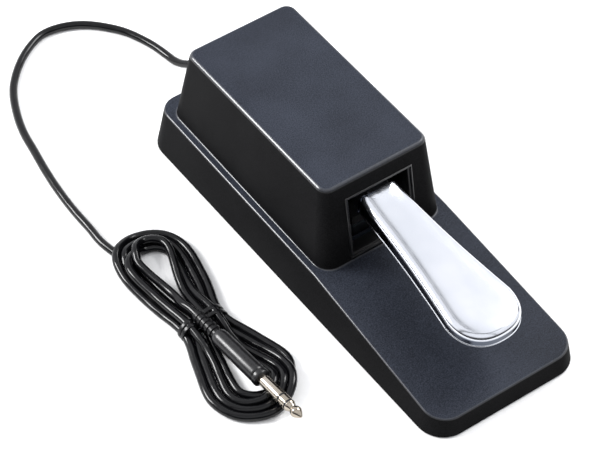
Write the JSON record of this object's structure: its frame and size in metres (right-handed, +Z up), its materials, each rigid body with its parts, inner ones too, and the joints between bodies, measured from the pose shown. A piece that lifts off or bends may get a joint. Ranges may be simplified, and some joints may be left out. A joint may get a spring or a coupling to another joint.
{
  "type": "sustain pedal",
  "caption": "Wedge base with a raised cover over a sprung pivoting chrome pedal, a geared position sensor and a tied signal lead ending in a jack plug.",
  "frame": {"origin": "middle of the footprint of the base and cover, on the floor, with the lead left out", "axes": "+Z up, +Y from the toe end to the rear along the pedal's length, +X to the player's right when seen from the toe"},
  "size_m": [0.1644, 0.3473, 0.072],
  "materials": {
    "black_moulding": "fine spark-textured ABS",
    "zinc_plate": "zinc-plated sheet steel",
    "rubber": "moulded rubber",
    "screw_steel": "zinc-plated fastener steel",
    "spring_steel": "drawn spring steel",
    "nylon": "natural nylon",
    "felt": "pressed wool felt",
    "sensor_case": "moulded phenolic",
    "brass": "tinned brass",
    "wire": "PVC wire insulation",
    "pvc": "extruded glossy PVC",
    "painted_steel": "black painted steel",
    "chrome": "satin chrome plate",
    "plug_plastic": "moulded ABS",
    "nickel": "nickel-plated brass"
  },
  "bodies": {
    "pedal_base": {"base": "black_moulding", "cover": "black_moulding", "slot_frame": "black_moulding", "bottom_plate": "zinc_plate", "rubber_sole": "rubber", "plate_screws": "screw_steel", "cover_screws": "screw_steel", "pivot_bracket": "zinc_plate", "bracket_screws": "screw_steel", "pivot_pin": "screw_steel", "pin_clips": "spring_steel", "return_spring": "spring_steel", "spring_post": "nylon", "upper_stop_pad": "felt", "lower_stop_pad": "rubber", "sensor_body": "sensor_case", "sensor_nut": "screw_steel", "sensor_terminals": "brass", "sensor_wires": "wire", "strain_relief": "pvc", "cord_tail": "pvc", "cord_clamp": "nylon", "clamp_screws": "screw_steel", "cord_lead": "pvc", "cord_hank": "pvc", "twist_tie": "pvc", "plug_relief": "pvc", "plug_handle": "plug_plastic", "plug_collar": "plug_plastic", "plug_sleeve": "nickel", "plug_insulators": "plug_plastic", "plug_ring": "nickel", "plug_tip": "nickel"},
    "pedal": {"pedal_arm": "painted_steel", "pedal_plate": "chrome", "plate_nuts": "screw_steel", "arm_bushes": "nylon", "quadrant": "nylon", "quadrant_screws": "screw_steel", "spring_cup": "nylon"},
    "sensor_rotor": {"sensor_shaft": "screw_steel", "pinion": "nylon"}
  },
  "joints": [
    {"name": "pedal_pivot", "type": "hinge", "parent": "pedal_base", "child": "pedal", "pos_m": [0, 0.072, 0.058], "axis": [1, 0, 0], "range_deg": [0, 7.5], "stiffness_Nm_per_rad": 9, "springref_deg": -6.88, "deforming": ["return_spring"]},
    {"name": "sensor_spin", "type": "hinge", "parent": "pedal_base", "child": "sensor_rotor", "pos_m": [0, 0.02423, 0.05332], "axis": [1, 0, 0], "range_deg": [-38, 0.5]}
  ],
  "couplings": [
    {"joint": "sensor_spin", "follows": "pedal_pivot", "ratio": -5}
  ]
}
